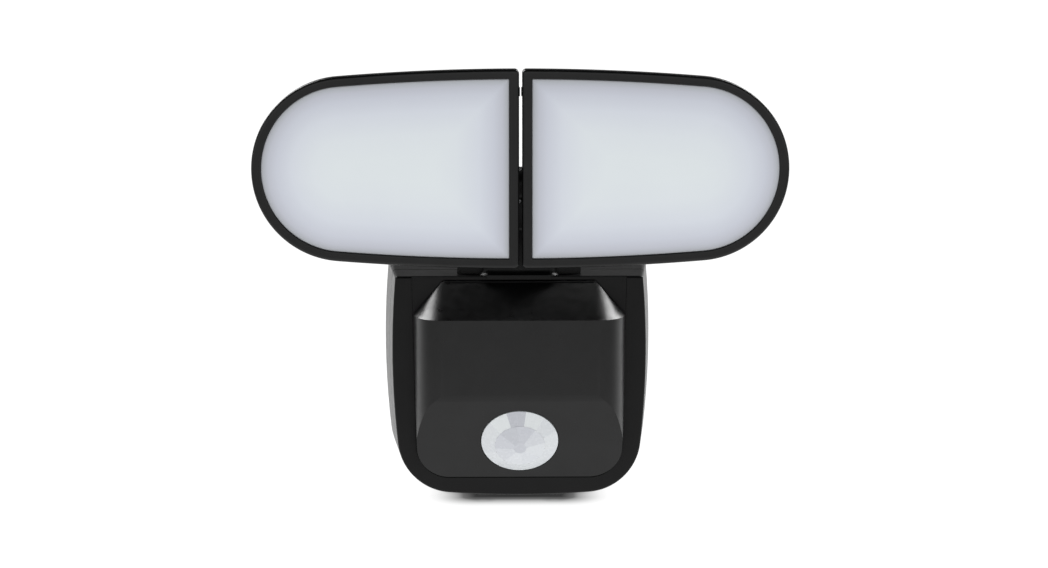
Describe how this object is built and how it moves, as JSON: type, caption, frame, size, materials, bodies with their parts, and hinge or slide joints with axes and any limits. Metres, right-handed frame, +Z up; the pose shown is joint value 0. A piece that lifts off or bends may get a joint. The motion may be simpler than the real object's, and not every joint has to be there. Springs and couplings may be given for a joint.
{
  "type": "motion sensor floodlight",
  "caption": "Battery floodlight for a wall: tilting, panning D-shaped lamp heads on a neck above a body with a slanted motion-sensor housing.",
  "frame": {"origin": "centre of the wall bracket's screw pattern, on the wall plane", "axes": "+X to the viewer's right, +Y into the wall, +Z up; the lamp heads face -Y"},
  "size_m": [0.243, 0.104, 0.2069],
  "materials": {
    "black_plastic": "fine moulded satin",
    "dark_plastic": "satin",
    "rubber": "matt",
    "diffuser": "opal, satin",
    "lens": "moulded, translucent",
    "steel": "zinc plated",
    "board": "solder mask",
    "led_board": "white solder mask on aluminium",
    "led": "phosphor",
    "cell": "plain printed sleeve"
  },
  "bodies": {
    "bracket": {"wall_bracket": "steel"},
    "light": {"rear_shell": "black_plastic", "front_shell": "black_plastic", "shell_gasket": "rubber", "shell_screws": "steel", "battery_cover": "black_plastic", "cover_gasket": "rubber", "cover_screws": "steel", "battery_cradle": "dark_plastic", "battery_cell_1": "cell", "battery_cell_2": "cell", "battery_cell_3": "cell", "battery_cell_4": "cell", "battery_springs": "steel", "battery_contacts": "steel", "main_board": "board", "board_components": "dark_plastic", "board_screws": "steel", "sensor_housing": "black_plastic", "housing_screws": "steel", "pir_lens": "lens", "lens_gasket": "rubber", "lens_retainer": "dark_plastic", "sensor_board": "board", "pir_element": "steel", "daylight_sensor": "dark_plastic", "control_board": "board", "dial_potentiometers": "dark_plastic", "button_spring": "steel", "button_switch": "dark_plastic", "neck": "black_plastic", "neck_gasket": "rubber", "neck_screws": "steel", "neck_cap": "black_plastic", "cap_screws": "steel"},
    "time_dial": {"time_dial": "dark_plastic"},
    "range_dial": {"range_dial": "dark_plastic"},
    "mode_button": {"mode_button": "rubber"},
    "left_arm": {"left_tilt_arm": "dark_plastic", "left_tilt_washer": "steel"},
    "left_head": {"left_pan_pin": "steel", "left_pan_washers": "steel", "left_back_shell": "black_plastic", "left_bezel": "black_plastic", "left_diffuser": "diffuser", "left_head_gasket": "rubber", "left_led_board": "led_board", "left_leds": "led", "left_head_screws": "steel"},
    "right_arm": {"right_tilt_arm": "dark_plastic", "right_tilt_washer": "steel"},
    "right_head": {"right_pan_pin": "steel", "right_pan_washers": "steel", "right_back_shell": "black_plastic", "right_bezel": "black_plastic", "right_diffuser": "diffuser", "right_head_gasket": "rubber", "right_led_board": "led_board", "right_leds": "led", "right_head_screws": "steel"}
  },
  "joints": [
    {"name": "lift_off", "type": "slide", "parent": "bracket", "child": "light", "axis": [0, 0, 1], "range_m": [0, 0.008]},
    {"name": "left_tilt", "type": "hinge", "parent": "light", "child": "left_arm", "pos_m": [0, -0.074, 0.096], "axis": [1, 0, 0], "range_deg": [-60, 30]},
    {"name": "left_pan", "type": "hinge", "parent": "left_arm", "child": "left_head", "pos_m": [-0.026, -0.074, 0.096], "axis": [0, 0, -1], "range_deg": [0, 35]},
    {"name": "right_tilt", "type": "hinge", "parent": "light", "child": "right_arm", "pos_m": [0, -0.074, 0.096], "axis": [1, 0, 0], "range_deg": [-60, 30]},
    {"name": "right_pan", "type": "hinge", "parent": "right_arm", "child": "right_head", "pos_m": [0.026, -0.074, 0.096], "axis": [0, 0, 1], "range_deg": [0, 35]},
    {"name": "time_turn", "type": "hinge", "parent": "light", "child": "time_dial", "pos_m": [-0.017, -0.051, -0.052], "axis": [0, 0, -1], "range_deg": [-135, 135]},
    {"name": "range_turn", "type": "hinge", "parent": "light", "child": "range_dial", "pos_m": [0.017, -0.051, -0.052], "axis": [0, 0, -1], "range_deg": [-135, 135]},
    {"name": "button_press", "type": "slide", "parent": "light", "child": "mode_button", "axis": [0, 0, 1], "range_m": [0, 0.001], "stiffness_N_per_m": 700, "springref_m": -0.0005, "deforming": ["button_spring"]}
  ]
}
